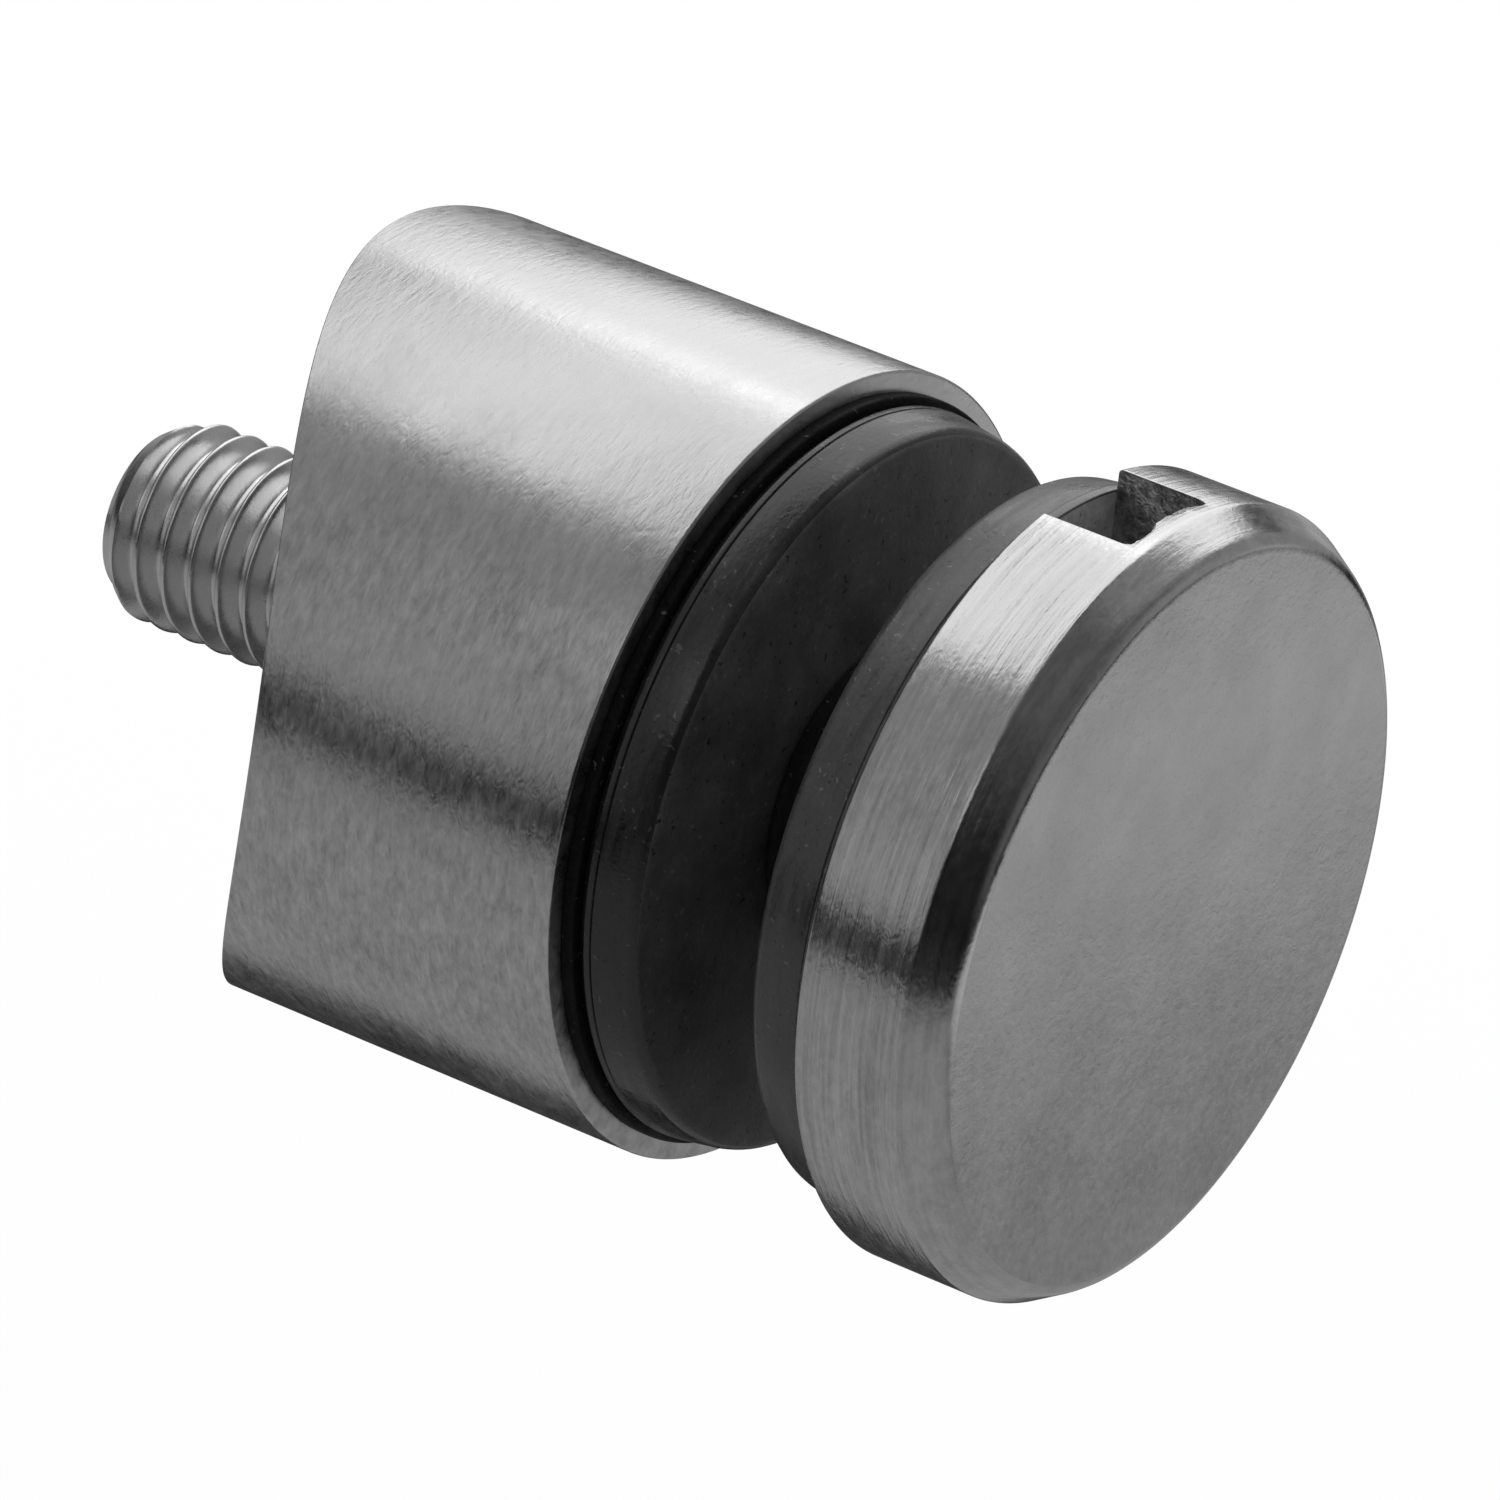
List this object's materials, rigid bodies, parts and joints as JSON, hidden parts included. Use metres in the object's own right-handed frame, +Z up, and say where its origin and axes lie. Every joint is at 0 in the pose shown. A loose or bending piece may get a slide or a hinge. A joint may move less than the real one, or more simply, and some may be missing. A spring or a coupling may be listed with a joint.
{
  "type": "glass point fixing",
  "caption": "Round clamp that holds a glass pane off a tube: saddle-cut base body, rubber gaskets, screwed cap with a spanner slot, and a threaded stud that goes into the tube.",
  "frame": {"origin": "where the fixing's axis meets the tube's surface, at the floor of the saddle", "axes": "+Y along the axis into the tube, -Y out to the cap, +X along the tube, +Z up"},
  "size_m": [0.03, 0.0452, 0.03],
  "materials": {
    "body_steel": "fine turned, satin",
    "stud_steel": "rolled thread, bright",
    "gasket_rubber": "moulded, satin black",
    "sleeve_plastic": "moulded, matt black"
  },
  "bodies": {
    "base": {"base_body": "body_steel", "mounting_stud": "stud_steel", "rear_gasket": "gasket_rubber", "glass_sleeve": "sleeve_plastic"},
    "front_seal": {"front_gasket": "gasket_rubber"},
    "cap_unit": {"cap": "body_steel", "clamp_stud": "stud_steel"}
  },
  "joints": [
    {"name": "cap_travel", "type": "slide", "parent": "base", "child": "front_seal", "axis": [0, -1, 0], "range_m": [-0.00025, 0.00375]},
    {"name": "cap_turn", "type": "hinge", "parent": "front_seal", "child": "cap_unit", "pos_m": [0, -0.02385, 0], "axis": [0, -1, 0], "range_deg": [-72, 1080]}
  ],
  "couplings": [
    {"joint": "cap_travel", "follows": "cap_turn", "m_per_rad": 0.00019894}
  ]
}
